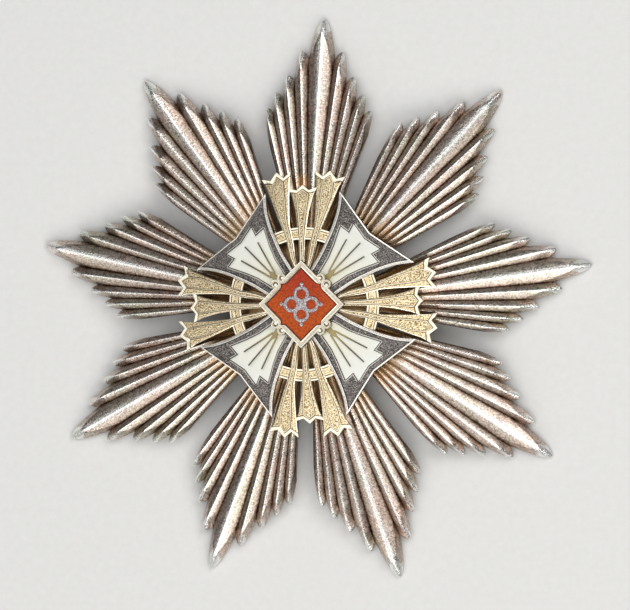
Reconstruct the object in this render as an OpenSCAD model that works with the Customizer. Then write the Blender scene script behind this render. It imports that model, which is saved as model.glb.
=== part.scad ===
// Breast star: a nine-fan silver star that carries a gilt sheaf cross, a dark
// enamelled cross and an upright lozenge medallion.
// It lies face up on its nine long tips, with its top towards +Y.

/* [Star] */
// Radius of the circle through the nine long ray tips
star_r = 43.5; // [41:0.5:46]
// Number of fans
fans = 9; // [7:1:9]
// Angle that a fan spans at its focus
fan_spread = 37.4; // [35:0.2:37.8]
// Distance from the centre to the focus where the rays of a fan meet
fan_focus = 2.7; // [2.4:0.1:3.2]
// Radius of the hub that joins the fans
hub_r = 11; // [10.5:0.25:12]
// Radius of the hub's flat seat under the crosses
seat_r = 6; // [5.8:0.1:7]
// Rise of the hub's flat seat above its ridges
seat_rise = 1.75; // [1.6:0.05:2.1]
// Rise of the underside from the tips to the middle
under_rise = 3.6; // [3.4:0.1:4]
// Thickness of the metal in a valley between two rays
valley_t = 0.8; // [0.7:0.05:0.9]
// Thickness of the metal at a ridge
ridge_t = 1.8; // [1.5:0.05:1.9]
// Thickness of the edge at a ray's end
edge_t = 0.45; // [0.3:0.05:0.6]
// Length over which a ridge falls to its tip
tip_fall = 4.7; // [4:0.1:5.5]
// Turn of the star about its axis
star_turn = -2; // [-3:0.5:3]

/* [Crosses] */
// Radius of the dome that both crosses follow
dome_r = 70; // [66:1:80]
// Turn of the two crosses about the axis
cross_turn = 1.8; // [-3:0.1:3]
// Distance from the centre to the ends of the gilt arms
gold_r = 20.2; // [19:0.1:21]
// Half the width of a gilt arm across its flared end
gold_half = 6.5; // [6.2:0.1:6.8]
// Thickness of the gilt cross's arms
gold_t = 0.8; // [0.6:0.05:0.85]
// Depth of a reed's folded sides below its raised panel
fold_depth = 0.24; // [0.1:0.02:0.3]
// Inner radius of the band that ties the reeds
band_r = 9.85; // [9:0.05:10.5]
// Width of the band
band_w = 1.8; // [1.2:0.05:2]
// Width of each raised lip of the band
lip_w = 0.28; // [0.2:0.02:0.4]
// Thickness of the gilt cross's foot plate
foot_t = 0.55; // [0.4:0.05:0.6]
// Radius of the gilt cross's foot plate
foot_r = 5.7; // [5.5:0.1:5.8]
// Radius of the posts that join the foot plate to the arms
post_r = 0.7; // [0.5:0.05:0.75]
// Distance along a dark arm from the centre to its corners
plate_len = 16.1; // [15.5:0.1:16.6]
// Half the width of a dark arm across its corners
plate_half = 7.9; // [7.6:0.1:8.1]
// Distance from the centre to the dip in a dark arm's outer edge
plate_dip = 14.75; // [14.5:0.05:15.2]
// Thickness of the dark cross's arms
plate_t = 0.9; // [0.8:0.05:0.95]
// Radius of the dark cross's centre disc
disc_r = 4.2; // [3.8:0.05:4.25]
// Width of the dark cross's raised rim
rim_w = 0.42; // [0.3:0.02:0.5]
// Height of the rim above the stippled ground
rim_h = 0.28; // [0.2:0.02:0.34]
// Width of the wall round an enamel field
cell_w = 0.16; // [0.12:0.02:0.22]
// Depth of that wall's top below the rim's top
cell_sink = 0.1; // [0.04:0.02:0.14]
// Depth of an enamel field below the rim's top
cell_depth = 0.6; // [0.5:0.02:0.66]
// Width of a vein in the enamel
vein_w = 0.2; // [0.16:0.02:0.28]
// Gap left round each enamel and between neighbouring pieces
fit_gap = 0.05; // [0.03:0.01:0.08]
// Gap between the arms of the dark cross and the foot plate below them
arm_gap = 0.3; // [0.26:0.02:0.4]
// Step down from the top of the dark cross's dome to the gilt one's
gold_step = 0.1; // [0:0.05:0.2]

/* [Medallion] */
// Half the diagonal of the lozenge frame
frame_r = 6.7; // [6.5:0.05:6.9]
// Half the diagonal of the red field
field_r = 5.5; // [5.3:0.05:5.6]
// Thickness of the frame's floor
floor_t = 0.25; // [0.2:0.01:0.35]
// Height of the frame
frame_h = 0.85; // [0.75:0.05:1]
// Outer radius of a volute
volute_r = 0.72; // [0.64:0.02:0.76]
// Radius of a volute's sunk eye
eye_r = 0.2; // [0.14:0.02:0.26]
// Thickness of the red enamel
enamel_t = 0.38; // [0.3:0.02:0.44]
// Thickness of the silver device
device_t = 0.15; // [0.1:0.01:0.2]
// Outer radius of each ring of the device
ring_r = 1.25; // [1.1:0.05:1.35]
// Width of the device's lines
line_w = 0.55; // [0.45:0.05:0.65]

/* [Brooch] */
// Length of the back bar
bar_len = 40; // [34:1:41]
// Width of the back bar
bar_w = 3.2; // [2.6:0.1:4]
// Thickness of the back bar
bar_t = 0.6; // [0.5:0.05:0.7]
// Gap between the ends of the back bar and the star
bar_gap = 0.3; // [0.25:0.05:0.4]
// Radius of the pad that is soldered under the hub
pad_r = 4; // [3:0.25:6]
// Diameter of the pin
pin_d = 1; // [0.8:0.05:1]
// Height of the pin's axis above the tips
pin_z = 0.95; // [0.9:0.05:1]
// Gap between the brooch and the surface that the tips rest on
floor_gap = 0.15; // [0.1:0.05:0.3]
// Distance of the hinge and the catch from the bar's ends
end_inset = 1.5; // [1.2:0.1:2]

/* [Hidden] */
$fn = 96;
arms = 4;
// How far a cutting shell reaches above the surface that it cuts
over = 1;

// Height of the star's underside at a distance from the axis
function under(r) = under_rise * (1 - pow(r / star_r, 1.6));

// The stack above the star, from the hub's seat upwards
seat_z = under(hub_r) + ridge_t + seat_rise;
foot_top = seat_z + foot_t;
plate_top = foot_top + arm_gap + plate_t;
gold_top = plate_top - gold_step;
enamel_z = plate_top + floor_t;
// Distances from the centre to the posts under the gilt arms and to the roots of the reeds' stalks
post_at = disc_r + fit_gap + post_r;
root_at = post_at + post_r / 2;

// One side of a fan, a row for each ray from the middle outwards.
// Columns: ridge angle and outer valley angle, as shares of half the spread,
// then tip radius and outer notch radius, as shares of the star's radius
RAYS = [
  [0.000, 0.171, 1.000, 0.858],
  [0.267, 0.396, 0.888, 0.782],
  [0.497, 0.604, 0.808, 0.725],
  [0.700, 0.802, 0.755, 0.684],
  [0.898, 1.000, 0.709, 0.620]];
// Stations along a ray, as shares of its length from the hub to its end
ALONG = [0, 0.5, 0.84, 0.94, 1];
// Halfway down a ray's side: share of the relief, and bend of the pointed end
flank_relief = 0.62;
lancet = 1.67;

// Distance from the fan's focus to the circle of radius r, in direction a
function reach(a, r) = sqrt(r * r - pow(fan_focus * sin(a), 2)) - fan_focus * cos(a);

// Stations across half a fan: angle share, end radius share, relief share
function flank(ridge, valley, tip, notch) =
  [(ridge + valley) / 2, tip - (tip - notch) * pow(0.5, lancet), flank_relief];
function inner_flank(i) =
  i == 0 ? [] : [flank(RAYS[i][0], RAYS[i - 1][1], RAYS[i][2], RAYS[i - 1][3])];
HALF_FAN = [for (i = [0:len(RAYS) - 1]) each concat(inner_flank(i), [
  [RAYS[i][0], RAYS[i][2], 1],
  flank(RAYS[i][0], RAYS[i][1], RAYS[i][2], RAYS[i][3]),
  [RAYS[i][1], RAYS[i][3], 0]])];
FAN = concat(
  [for (i = [len(HALF_FAN) - 1:-1:1]) [-HALF_FAN[i][0], HALF_FAN[i][1], HALF_FAN[i][2]]],
  HALF_FAN);
across = len(FAN);
rows = len(ALONG);
around = fans * across;

// Place on fan k at station s, a share w along the ray: x, y and share of the relief left
function ray_place(k, s, w) =
  let (
    a = s[0] * fan_spread / 2,
    from = reach(a, hub_r),
    to = reach(a, s[1] * star_r),
    d = from + w * (to - from),
    axis = 90 + k * 360 / fans,
    left = pow(min(1, (1 - w) * (to - from) / tip_fall), 0.7)
  ) [fan_focus * cos(axis) + d * cos(axis + a), fan_focus * sin(axis) + d * sin(axis + a), left];
function top_place(k, s, w) =
  let (
    p = ray_place(k, s, w),
    relief = valley_t - edge_t + (ridge_t - valley_t) * s[2]
  ) [p[0], p[1], under(norm([p[0], p[1]])) + edge_t + relief * p[2]];
function under_place(k, s, w) =
  let (p = ray_place(k, s, w)) [p[0], p[1], under(norm([p[0], p[1]]))];
function seat_place(k, s) =
  let (p = ray_place(k, s, 0)) [p[0] * seat_r / hub_r, p[1] * seat_r / hub_r, seat_z];

// Numbers of the points: tops, undersides, seat, then the two centres
under_first = around * rows;
seat_first = 2 * around * rows;
top_centre = seat_first + around;
under_centre = top_centre + 1;
function top_id(i, j) = (i % around) * rows + j;
function under_id(i, j) = under_first + (i % around) * rows + j;
function seat_id(i) = seat_first + i % around;
function quad(a, b, c, d) = [[a, b, c], [a, c, d]];

STAR_POINTS = concat(
  [for (k = [0:fans - 1]) for (s = FAN) for (w = ALONG) top_place(k, s, w)],
  [for (k = [0:fans - 1]) for (s = FAN) for (w = ALONG) under_place(k, s, w)],
  [for (k = [0:fans - 1]) for (s = FAN) seat_place(k, s)],
  [[0, 0, seat_z], [0, 0, under(hub_r)]]);
// Each fan's top, underside, end wall and two side walls
FAN_FACES = [for (k = [0:fans - 1])
  let (first = k * across, last = first + across - 1, end = rows - 1) each concat(
    [for (i = [first:last - 1]) for (j = [0:end - 1]) each
      quad(top_id(i, j), top_id(i + 1, j), top_id(i + 1, j + 1), top_id(i, j + 1))],
    [for (i = [first:last - 1]) for (j = [0:end - 1]) each
      quad(under_id(i, j), under_id(i, j + 1), under_id(i + 1, j + 1), under_id(i + 1, j))],
    [for (i = [first:last - 1]) each
      quad(top_id(i, end), top_id(i + 1, end), under_id(i + 1, end), under_id(i, end))],
    [for (j = [0:end - 1]) each
      quad(top_id(first, j), top_id(first, j + 1), under_id(first, j + 1), under_id(first, j))],
    [for (j = [0:end - 1]) each
      quad(top_id(last, j), under_id(last, j), under_id(last, j + 1), top_id(last, j + 1))],
    quad(top_id(last, 0), top_id(last + 1, 0), under_id(last + 1, 0), under_id(last, 0)))];
// The hub's slope up to the seat, the seat and the flat underside
HUB_FACES = [for (i = [0:around - 1]) each concat(
  quad(seat_id(i), seat_id(i + 1), top_id(i + 1, 0), top_id(i, 0)),
  [[top_centre, seat_id(i + 1), seat_id(i)]],
  [[under_centre, under_id(i, 0), under_id(i + 1, 0)]])];

module ray_star() {
  color("#8d8078") rotate(star_turn)
    polyhedron(points = STAR_POINTS, faces = concat(FAN_FACES, HUB_FACES), convexity = 6);
}

// The part of a flat shape's prism that lies in a domed shell below a height
module domed(top, thick) {
  difference() {
    intersection() {
      linear_extrude(height = top + over) children();
      translate([0, 0, top - dome_r]) sphere(dome_r, $fn = 180);
    }
    translate([0, 0, top - thick - dome_r]) sphere(dome_r, $fn = 180);
  }
}

// Points of a table whose columns are shares of two lengths
function spread(table, width, length) = [for (p = table) [p[0] * width, p[1] * length]];
// An outline from its right half, mirrored about the arm's axis
function mirrored(half) = concat(half,
  [for (i = [len(half) - 1:-1:0]) if (half[i][0] != 0) [-half[i][0], half[i][1]]]);

// Side of a dark arm, from its root to its corner.
// Columns: half width as a share of plate_half, distance as a share of plate_len
PLATE_SIDE = [
  [0.300, 0.180], [0.330, 0.250], [0.373, 0.354], [0.443, 0.490],
  [0.551, 0.634], [0.646, 0.745], [0.797, 0.876], [1.000, 1.000]];
// Half of an enamel field, from its root to the bend of its outer end, same columns
FIELD_SIDE = [
  [0.165, 0.318], [0.190, 0.373], [0.243, 0.488], [0.345, 0.613],
  [0.506, 0.776], [0.298, 0.786], [0.355, 0.876], [0.000, 0.845]];
// Veins in the enamel and the wedge that they spring from, same columns
VEIN_ROOTS = [[-0.055, 0.395], [0.000, 0.430], [0.055, 0.395]];
VEIN_ENDS = [[-0.240, 0.725], [0.000, 0.789], [0.240, 0.725]];
WEDGE = [[-0.060, 0.300], [0.060, 0.300], [0.040, 0.410], [0.000, 0.460], [-0.040, 0.410]];

module on_dark_arms() {
  for (k = [0:arms - 1]) rotate(45 + k * 90) children();
}
module dark_outline() {
  on_dark_arms() polygon(mirrored(concat(spread(PLATE_SIDE, plate_half, plate_len), [[0, plate_dip]])));
}
module field_outline() {
  polygon(mirrored(spread(FIELD_SIDE, plate_half, plate_len)));
}
module veins(grow) {
  for (i = [0:len(VEIN_ENDS) - 1]) {
    root = [VEIN_ROOTS[i][0] * plate_half, VEIN_ROOTS[i][1] * plate_len];
    tip = [VEIN_ENDS[i][0] * plate_half, VEIN_ENDS[i][1] * plate_len];
    way = (tip - root) / norm(tip - root);
    side = [-way[1], way[0]];
    wide = side * (vein_w / 2 + grow);
    fine = side * (vein_w / 3 + grow);
    foot = root - way * grow;
    end = tip + way * grow;
    polygon([foot - wide, foot + wide, end + fine, end - fine]);
  }
  offset(delta = grow) polygon(spread(WEDGE, plate_half, plate_len));
}

module diagonal_cross() {
  color("#5d5852") rotate(cross_turn) {
    difference() {
      domed(plate_top, plate_t) dark_outline();
      domed(plate_top + over, over + rim_h) difference() {
        offset(delta = -rim_w) dark_outline();
        on_dark_arms() offset(delta = cell_w) field_outline();
      }
      domed(plate_top + over, over + cell_sink) on_dark_arms() offset(delta = cell_w / 2) field_outline();
      domed(plate_top + over, over + cell_depth) on_dark_arms() difference() {
        field_outline();
        veins(0);
      }
    }
    translate([0, 0, foot_top]) cylinder(r = disc_r, h = plate_top - foot_top);
  }
}

module enamel_arm(k) {
  color("#e9eae2") rotate(cross_turn - 45 - k * 90) rotate(90)
    domed(plate_top - cell_sink, cell_depth - cell_sink - fit_gap) difference() {
      offset(delta = -fit_gap) field_outline();
      veins(fit_gap);
    }
}
module enamel_arm_1() { enamel_arm(0); }
module enamel_arm_2() { enamel_arm(1); }
module enamel_arm_3() { enamel_arm(2); }
module enamel_arm_4() { enamel_arm(3); }

// Points of a table for a gilt arm. Columns: distance from the arm's axis as a share of gold_half,
// distance along as a share of the way from the stalks' roots to the arm's end
function reed_spread(table) = [for (p = table) [p[0] * gold_half, root_at + p[1] * (gold_r - root_at)]];

// An outer reed with its stalk, anticlockwise from the stalk's root
REED = [
  [0.046, 0.000], [0.177, 0.000], [0.218, 0.040], [0.288, 0.128], [0.349, 0.235], [0.372, 0.295],
  [0.446, 0.383], [0.508, 0.450], [0.600, 0.544], [0.769, 0.732], [0.854, 0.826], [0.963, 0.901],
  [1.000, 0.928], [0.788, 0.909], [0.646, 0.995], [0.469, 0.934], [0.305, 1.000], [0.320, 0.905],
  [0.320, 0.732], [0.311, 0.584], [0.292, 0.450], [0.209, 0.295], [0.186, 0.235], [0.158, 0.128],
  [0.123, 0.047]];
// Its raised panel
REED_PANEL = [
  [0.092, 0.010], [0.151, 0.010], [0.188, 0.047], [0.262, 0.128], [0.315, 0.235], [0.335, 0.295],
  [0.446, 0.450], [0.531, 0.544], [0.689, 0.732], [0.735, 0.871], [0.646, 0.948], [0.480, 0.897],
  [0.423, 0.732], [0.382, 0.544], [0.346, 0.450], [0.246, 0.295], [0.223, 0.235], [0.185, 0.128],
  [0.146, 0.047]];
// Half of the middle reed, from its root, and half of its panel
MIDDLE_REED = [
  [0.062, 0.000], [0.062, 0.128], [0.071, 0.235], [0.077, 0.299], [0.114, 0.443], [0.157, 0.577],
  [0.246, 0.738], [0.338, 0.829], [0.142, 0.804], [0.000, 0.859]];
MIDDLE_PANEL = [
  [0.028, 0.010], [0.028, 0.128], [0.037, 0.235], [0.042, 0.299], [0.065, 0.443], [0.095, 0.577],
  [0.142, 0.725], [0.138, 0.768], [0.000, 0.813]];

module on_gold_arms() {
  for (k = [0:arms - 1]) rotate(k * 90) children();
}
module both_sides() {
  children();
  mirror([1, 0]) children();
}
module reeds() {
  both_sides() polygon(reed_spread(REED));
  polygon(mirrored(reed_spread(MIDDLE_REED)));
}
module panels() {
  both_sides() polygon(reed_spread(REED_PANEL));
  polygon(mirrored(reed_spread(MIDDLE_PANEL)));
}
// A ring that stops short of the dark arms
module band_ring(r, w) {
  difference() {
    circle(r + w);
    circle(r);
    offset(delta = fit_gap) dark_outline();
  }
}

module gold_cross() {
  color("#c3a878") rotate(cross_turn) {
    difference() {
      domed(gold_top, gold_t) {
        on_gold_arms() reeds();
        band_ring(band_r, band_w);
      }
      domed(gold_top + over, over + fold_depth) difference() {
        circle(gold_r + gold_half);
        on_gold_arms() panels();
        band_ring(band_r, lip_w);
        band_ring(band_r + band_w - lip_w, lip_w);
      }
    }
    translate([0, 0, seat_z]) cylinder(r = foot_r, h = foot_t);
    on_gold_arms() translate([0, post_at, seat_z])
      cylinder(r = post_r, h = gold_top - gold_t - seat_z, $fn = 32);
  }
}

// A quarter of the frame and of the field, from the top corner towards the right one.
// Columns: x and y as shares of the half diagonal
FRAME_QUARTER = [
  [0.000, 1.000], [0.366, 0.634], [0.403, 0.582], [0.507, 0.507], [0.582, 0.403], [0.634, 0.366]];
FIELD_QUARTER = [
  [0.000, 1.000], [0.355, 0.645], [0.409, 0.600], [0.469, 0.569], [0.524, 0.560], [0.573, 0.573],
  [0.560, 0.524], [0.569, 0.469], [0.600, 0.409], [0.645, 0.355]];
// Centre of the volute beside the top corner, same columns as the frame
VOLUTE = [0.448, 0.590];

function turned(p, k) = k == 0 ? p : turned([p[1], -p[0]], k - 1);
function four_times(quarter, r) = [for (k = [0:3]) for (p = quarter) turned(p * r, k)];

module on_volutes() {
  for (k = [0:3]) rotate(k * 90) both_sides() translate(VOLUTE * frame_r) children();
}
module frame_outline() {
  polygon(four_times(FRAME_QUARTER, frame_r));
  on_volutes() circle(volute_r, $fn = 32);
}
module medallion_frame() {
  color("#d9c79a") translate([0, 0, plate_top]) {
    linear_extrude(height = floor_t) frame_outline();
    difference() {
      linear_extrude(height = frame_h) difference() {
        frame_outline();
        polygon(four_times(FIELD_QUARTER, field_r));
      }
      on_volutes() translate([0, 0, frame_h - eye_r]) cylinder(r = eye_r, h = 2 * eye_r, $fn = 32);
    }
  }
}
module medallion_enamel() {
  color("#d2481c") translate([0, 0, enamel_z]) linear_extrude(height = enamel_t)
    offset(delta = -fit_gap) polygon(four_times(FIELD_QUARTER, field_r));
}

// A knot of four open rings tied by a small disc, each with a bud beyond it
module medallion_device() {
  ring_at = ring_r + line_w / 2;
  bud_at = ring_at + ring_r + line_w / 2;
  color("#8f8a94") translate([0, 0, enamel_z + enamel_t]) linear_extrude(height = device_t) {
    circle(line_w);
    for (k = [0:3]) rotate(k * 90) {
      translate([0, ring_at]) difference() {
        circle(ring_r);
        circle(ring_r - line_w);
      }
      translate([0, bud_at]) circle(line_w * 0.75, $fn = 4);
    }
  }
}

// Pad, bar, hinge, catch and pin as one plain piece across the back, its ends behind two fans
module brooch_pin() {
  bar_top = under(bar_len / 2) - bar_gap;
  end_at = bar_len / 2 - end_inset;
  knuckle_r = pin_z - floor_gap;
  color("#9a938c") rotate(star_turn + 90) {
    translate([0, 0, bar_top - bar_t]) cylinder(r = pad_r, h = under(hub_r) - bar_top + bar_t);
    translate([-bar_w / 2, -bar_len / 2, bar_top - bar_t]) cube([bar_w, bar_len, bar_t]);
    translate([-bar_w / 2, end_at, pin_z]) rotate([0, 90, 0]) cylinder(r = knuckle_r, h = bar_w);
    translate([-bar_w / 2, end_at - pin_d / 2, pin_z]) cube([bar_w, pin_d, bar_top - pin_z]);
    translate([-pin_d, -end_at - pin_d, pin_z - knuckle_r])
      cube([2 * pin_d, 2 * pin_d, bar_top - pin_z + knuckle_r]);
    translate([0, -end_at, pin_z]) rotate([-90, 0, 0]) cylinder(d = pin_d, h = 2 * end_at);
  }
}

ray_star();
gold_cross();
diagonal_cross();
enamel_arm_1();
enamel_arm_2();
enamel_arm_3();
enamel_arm_4();
medallion_frame();
medallion_enamel();
medallion_device();
brooch_pin();
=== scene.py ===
import math

import bpy
import numpy as np
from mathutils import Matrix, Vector
from mathutils.geometry import delaunay_2d_cdt


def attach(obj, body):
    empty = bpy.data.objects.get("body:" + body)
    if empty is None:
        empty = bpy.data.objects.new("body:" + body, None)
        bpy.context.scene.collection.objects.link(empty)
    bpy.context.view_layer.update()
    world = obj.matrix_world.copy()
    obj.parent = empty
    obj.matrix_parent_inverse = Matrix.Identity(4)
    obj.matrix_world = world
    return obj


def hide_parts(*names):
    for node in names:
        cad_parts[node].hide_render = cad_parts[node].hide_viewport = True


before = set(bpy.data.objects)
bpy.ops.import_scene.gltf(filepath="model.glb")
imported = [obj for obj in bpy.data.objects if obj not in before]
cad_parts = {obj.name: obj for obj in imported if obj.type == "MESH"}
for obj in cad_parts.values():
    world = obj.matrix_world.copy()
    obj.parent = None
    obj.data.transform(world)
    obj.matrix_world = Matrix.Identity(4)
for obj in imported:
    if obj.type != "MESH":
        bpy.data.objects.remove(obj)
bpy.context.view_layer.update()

print("frame loaded")

# Camera: the photograph's angle, from a little to the right of straight above, through a long lens
cameraSet = {"turn": 13.5, "distance": 1.2, "width": 0.09595, "aside": (-0.000046, -0.000107)}


def addObject(name, data):
    made = bpy.data.objects.new(name, data)
    bpy.context.scene.collection.objects.link(made)
    return made


def makeCamera(given):
    turn = math.radians(given["turn"])
    back = Vector((math.sin(turn), 0, math.cos(turn)))
    right = Vector((math.cos(turn), 0, -math.sin(turn)))
    data = bpy.data.cameras.new("camera")
    data.sensor_width = 36
    data.lens = 36 * given["distance"] / given["width"]
    data.clip_end = 20
    camera = addObject("camera", data)
    side, up = given["aside"]
    camera.location = back * given["distance"] + right * side + Vector((0, up, 0))
    camera.rotation_euler = (0, turn, 0)
    bpy.context.scene.camera = camera


makeCamera(cameraSet)

# Plain soft studio light: panels beyond the bottom, the lower left and the upper right, and one overhead.
# Columns: name, direction round the star and height over the floor in degrees, distance, width and height
# in metres, radiance, colour
lightTable = [
    ("panelBottom", 296, 38, 1.2, (1.4, 0.6), 3.1, (1.0, 0.98, 0.95)),
    ("panelLeft", 220, 30, 1.2, (0.9, 0.6), 1.4, (1.0, 0.98, 0.95)),
    ("panelTop", 40, 44, 1.2, (1.0, 0.6), 3.4, (1.0, 0.99, 0.98)),
    ("panelOverhead", 190, 84, 1.6, (2.2, 1.9), 1.14, (1.0, 1.0, 1.0)),
]
worldLight = {"colour": (0.86, 0.87, 0.88), "strength": 0.15}


def makeLights(table, everywhere):
    for name, around, above, away, size, radiance, colour in table:
        around, above = math.radians(around), math.radians(above)
        flat = math.cos(above)
        place = away * Vector((math.cos(around) * flat, math.sin(around) * flat, math.sin(above)))
        data = bpy.data.lights.new(name, "AREA")
        data.shape = "RECTANGLE"
        data.size, data.size_y = size
        data.energy = radiance * math.pi * size[0] * size[1]
        data.color = colour
        lamp = addObject(name, data)
        lamp.location = place
        lamp.rotation_euler = (-place).to_track_quat("-Z", "Y").to_euler()
        lamp.visible_camera = False
    world = bpy.data.worlds.new("studio")
    world.use_nodes = True
    background = world.node_tree.nodes["Background"]
    background.inputs["Color"].default_value = (*everywhere["colour"], 1)
    background.inputs["Strength"].default_value = everywhere["strength"]
    bpy.context.scene.world = world
    bpy.context.scene.view_settings.view_transform = "Standard"


makeLights(lightTable, worldLight)
print("camera and lights made")


# Node helpers. Each adds a node beside the socket that it is given and returns an output
def feed(socket, value):
    if isinstance(value, bpy.types.NodeSocket):
        socket.id_data.links.new(value, socket)
    else:
        socket.default_value = value


def addNode(beside, kind, inputs, output, **settings):
    # A new node in the same tree, with its settings, and its inputs fed by name or number
    node = beside.id_data.nodes.new("ShaderNode" + kind)
    for key, value in settings.items():
        setattr(node, key, value)
    for key, value in inputs.items():
        feed(node.inputs[key], value)
    return node.outputs[output]


def noise(place, scale, detail=3.0, rough=0.55):
    inputs = {"Vector": place, "Scale": scale, "Detail": detail, "Roughness": rough}
    return addNode(place, "TexNoise", inputs, "Fac")


def grainOf(place, scale):
    # Noise spread over the whole range from 0 to 1
    return mapped(noise(place, scale, 2.0, 0.7), 0.34, 0.66)


def attribute(place, name):
    return addNode(place, "Attribute", {}, "Fac", attribute_name=name)


def sums(operation, a, b=0.0, c=0.0, clamp=False):
    return addNode(a, "Math", {0: a, 1: b, 2: c}, 0, operation=operation, use_clamp=clamp)


def swing(base, amount, pattern):
    # base + (pattern - 0.5) * amount
    return sums("MULTIPLY_ADD", sums("SUBTRACT", pattern, 0.5), amount, base)


def mapped(value, low, high, toLow=0.0, toHigh=1.0):
    inputs = {"Value": value, "From Min": low, "From Max": high, "To Min": toLow, "To Max": toHigh}
    return addNode(value, "MapRange", inputs, "Result", clamp=True)


def mixed(share, a, b, blend="MIX"):
    a, b = [(*colour, 1) if isinstance(colour, tuple) else colour for colour in (a, b)]
    return addNode(share, "Mix", {0: share, 6: a, 7: b}, 2, data_type="RGBA", blend_type=blend)


def scaled(colour, factor):
    inputs = {"Vector": colour, "Scale": factor}
    return addNode(colour, "VectorMath", inputs, "Vector", operation="SCALE")


def distanceFrom(place, point=(0, 0, 0)):
    return addNode(place, "VectorMath", {0: place, 1: point}, "Value", operation="DISTANCE")


def bump(height, strength, distance, under=None):
    inputs = {"Height": height, "Strength": strength, "Distance": distance}
    if under is not None:
        inputs["Normal"] = under
    return addNode(height, "Bump", inputs, "Normal")


def ramp(share, stops):
    colours = addNode(share, "ValToRGB", {"Fac": share}, "Color")
    marks = colours.node.color_ramp.elements
    marks[0].position, marks[0].color = stops[0][0], (*stops[0][1], 1)
    marks[1].position, marks[1].color = stops[-1][0], (*stops[-1][1], 1)
    for position, colour in stops[1:-1]:
        marks.new(position).color = (*colour, 1)
    return colours


def newMaterial(name, metallic, **fixed):
    # The material and the place on the object. Even values stand in the shader's own sockets
    made = bpy.data.materials.new(name)
    made.use_nodes = True
    for key, value in {"Metallic": metallic, **fixed}.items():
        made.node_tree.nodes["Principled BSDF"].inputs[key].default_value = value
    return made, addNode(made.node_tree, "TexCoord", {}, "Object")


def connected(made, colour, normal=None, rough=None):
    # The material with its shader's own sockets linked
    inputs = made.node_tree.nodes["Principled BSDF"].inputs
    for name, value in (("Base Color", colour), ("Normal", normal), ("Roughness", rough)):
        if value is not None:
            feed(inputs[name], value)
    return made


# Oxidised silver of the star: dark brown in the valleys, warm grey flanks with a strong fine speckle
# and faint streaks along the rays, near-white worn ridges
starFinish = {
    "stops": [(0.03, (0.06, 0.032, 0.02)), (0.12, (0.22, 0.155, 0.116)), (0.28, (0.45, 0.366, 0.31)),
              (0.84, (0.63, 0.552, 0.488)), (0.96, (0.99, 0.98, 0.96))],
    "speckleScale": 3800.0, "patchScale": 1500.0, "cloudScale": 260.0, "hueScale": 170.0,
    "cloudShift": 0.24, "speckleShift": 0.12, "wearAndHighlightShift": 0.42,
    "speckleShare": 0.8, "patchShare": 0.2, "streakShare": 0.25, "ridgeShare": 0.28,
    "rosy": (1.0, 0.9, 0.86), "greenish": (0.93, 1.0, 0.92),
    # Warm brown towards the hub under the crosses: painted shade with a painted reflection of the gilt
    "paintedShadeUnderCross": (0.4, 0.25, 0.12), "paintedShadeUnderCrossFrom": 0.0215, "paintedShadeUnderCrossFull": 0.0175,
    # An orange patch beside the top middle reed is a painted reflection of the gilt
    "paintedGiltReflection": (0.7, 0.36, 0.14), "paintedReflectionPlace": (-0.001, 0.0185, 0.0045), "paintedReflectionSize": 0.0017,
}


def silverTone(given, place, cloud, speckle):
    # From 0 in a valley to 1 on a ridge, moved by the clouds, the speckle and the wear of the tips, which is
    # also a painted highlight on them
    tone = swing(attribute(place, "relief"), given["cloudShift"], cloud)
    tone = swing(tone, given["speckleShift"], speckle)
    wornAndLit = sums("MULTIPLY", attribute(place, "wearAndHighlight"), given["wearAndHighlightShift"])
    return sums("ADD", tone, wornAndLit, clamp=True)


def silverSpots(given, place, tone, speckle, patch):
    # Speckle, patches and streaks along the rays as a factor round 1, fainter on the ridges
    along, across = attribute(place, "along"), attribute(place, "across")
    inputs = {"X": sums("MULTIPLY", along, 0.25), "Y": sums("MULTIPLY", across, 5.0)}
    streak = grainOf(addNode(place, "CombineXYZ", inputs, 0), 1.0)
    spots = sums("MULTIPLY", sums("SUBTRACT", speckle, 0.53), given["speckleShare"])
    spots = swing(spots, given["patchShare"], patch)
    spots = swing(spots, given["streakShare"], streak)
    return sums("MULTIPLY_ADD", spots, mapped(tone, 0.72, 0.95, 1.0, given["ridgeShare"]), 1.0)


def silverMaterial(given):
    made, place = newMaterial("oxidisedSilver", 1.0)
    speckle = grainOf(place, given["speckleScale"])
    patch = grainOf(place, given["patchScale"])
    cloud = noise(place, given["cloudScale"], 4.0, 0.6)
    tone = silverTone(given, place, cloud, speckle)
    colour = scaled(ramp(tone, given["stops"]), silverSpots(given, place, tone, speckle, patch))
    colour = scaled(colour, attribute(place, "shade"))
    hue = noise(place, given["hueScale"], 3.0)
    for full, tint in ((0.66, given["rosy"]), (0.36, given["greenish"])):
        colour = mixed(mapped(hue, 0.5, full, 0.0, 0.8), colour, tint, "MULTIPLY")
    # Orange patch on the star beside the top middle reed: a painted reflection of the gilt
    reflected = mapped(distanceFrom(place, given["paintedReflectionPlace"]), given["paintedReflectionSize"], 0.0006)
    reflected = sums("MULTIPLY", reflected, mapped(cloud, 0.35, 0.6, 0.45, 1.0))
    colour = mixed(sums("MULTIPLY", reflected, 0.55), colour, given["paintedGiltReflection"])
    # Painted shade and a painted reflection of the gilt: warm brown on the star towards the hub, under the
    # crosses
    reach = sums("MULTIPLY_ADD", cloud, 0.004, distanceFrom(place))
    paintedShadeUnderCross = mapped(reach, given["paintedShadeUnderCrossFull"], given["paintedShadeUnderCrossFrom"], 0.85, 0.0)
    colour = mixed(paintedShadeUnderCross, colour, given["paintedShadeUnderCross"])
    rough = swing(mapped(tone, 0.1, 1.0, 0.4, 0.22), 0.12, patch)
    coarse = bump(cloud, 0.25, 0.0004)
    return connected(made, colour, bump(speckle, 0.35, 0.00006, coarse), rough)


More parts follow.
